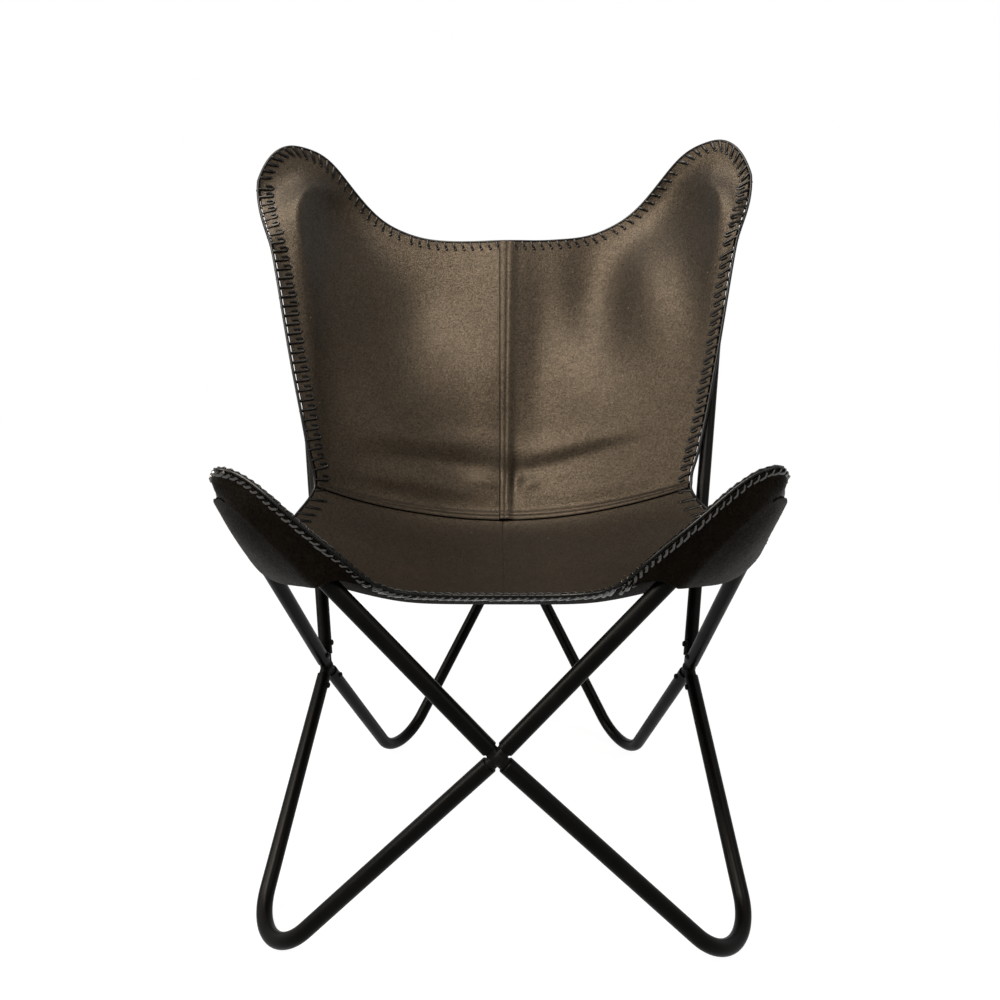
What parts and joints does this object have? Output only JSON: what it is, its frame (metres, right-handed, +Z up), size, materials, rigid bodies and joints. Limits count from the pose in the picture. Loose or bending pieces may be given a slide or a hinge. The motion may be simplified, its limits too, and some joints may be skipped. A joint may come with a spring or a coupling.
{
  "type": "butterfly sling chair",
  "caption": "Butterfly sling chair: black bent steel tube frame with a dark brown laced leather sling hung from its four corners.",
  "frame": {"origin": "on the floor, in the middle of the chair's width and depth", "axes": "+Z up, the chair faces -Y, +X is the right-hand side of someone looking at it from the front"},
  "size_m": [0.718, 0.7486, 0.9084],
  "materials": {
    "frame_tube": "satin black powder coat",
    "connector_steel": "satin black powder coat",
    "screw_steel": "black oxide",
    "sling_leather": "waxed, semi-matte",
    "pocket_leather": "waxed, semi-matte"
  },
  "bodies": {
    "root": {"front_upper_tube_right": "frame_tube", "front_upper_tube_left": "frame_tube", "back_upper_tube_right": "frame_tube", "back_upper_tube_left": "frame_tube", "front_foot_tube_right": "frame_tube", "front_foot_tube_left": "frame_tube", "back_foot_tube_right": "frame_tube", "back_foot_tube_left": "frame_tube", "side_cross_connector_right": "connector_steel", "side_cross_connector_left": "connector_steel", "arm_to_front_cross_screw_right": "screw_steel", "arm_to_front_cross_screw_left": "screw_steel", "foot_to_front_cross_screw_right": "screw_steel", "foot_to_front_cross_screw_left": "screw_steel", "arm_to_side_cross_screw_right": "screw_steel", "arm_to_side_cross_screw_left": "screw_steel", "ear_to_side_cross_screw_right": "screw_steel", "ear_to_side_cross_screw_left": "screw_steel", "front_foot_to_side_cross_screw_right": "screw_steel", "front_foot_to_side_cross_screw_left": "screw_steel", "back_foot_to_side_cross_screw_right": "screw_steel", "back_foot_to_side_cross_screw_left": "screw_steel", "ear_to_back_cross_screw_right": "screw_steel", "ear_to_back_cross_screw_left": "screw_steel", "foot_to_back_cross_screw_right": "screw_steel", "foot_to_back_cross_screw_left": "screw_steel", "back_panel_right": "sling_leather", "back_panel_left": "sling_leather", "seat_panel_right": "sling_leather", "seat_panel_left": "sling_leather", "ear_pocket_right": "pocket_leather", "ear_pocket_left": "pocket_leather", "arm_pocket_right": "pocket_leather", "arm_pocket_left": "pocket_leather", "front_cross_connector": "connector_steel", "back_cross_connector": "connector_steel"}
  },
  "joints": []
}
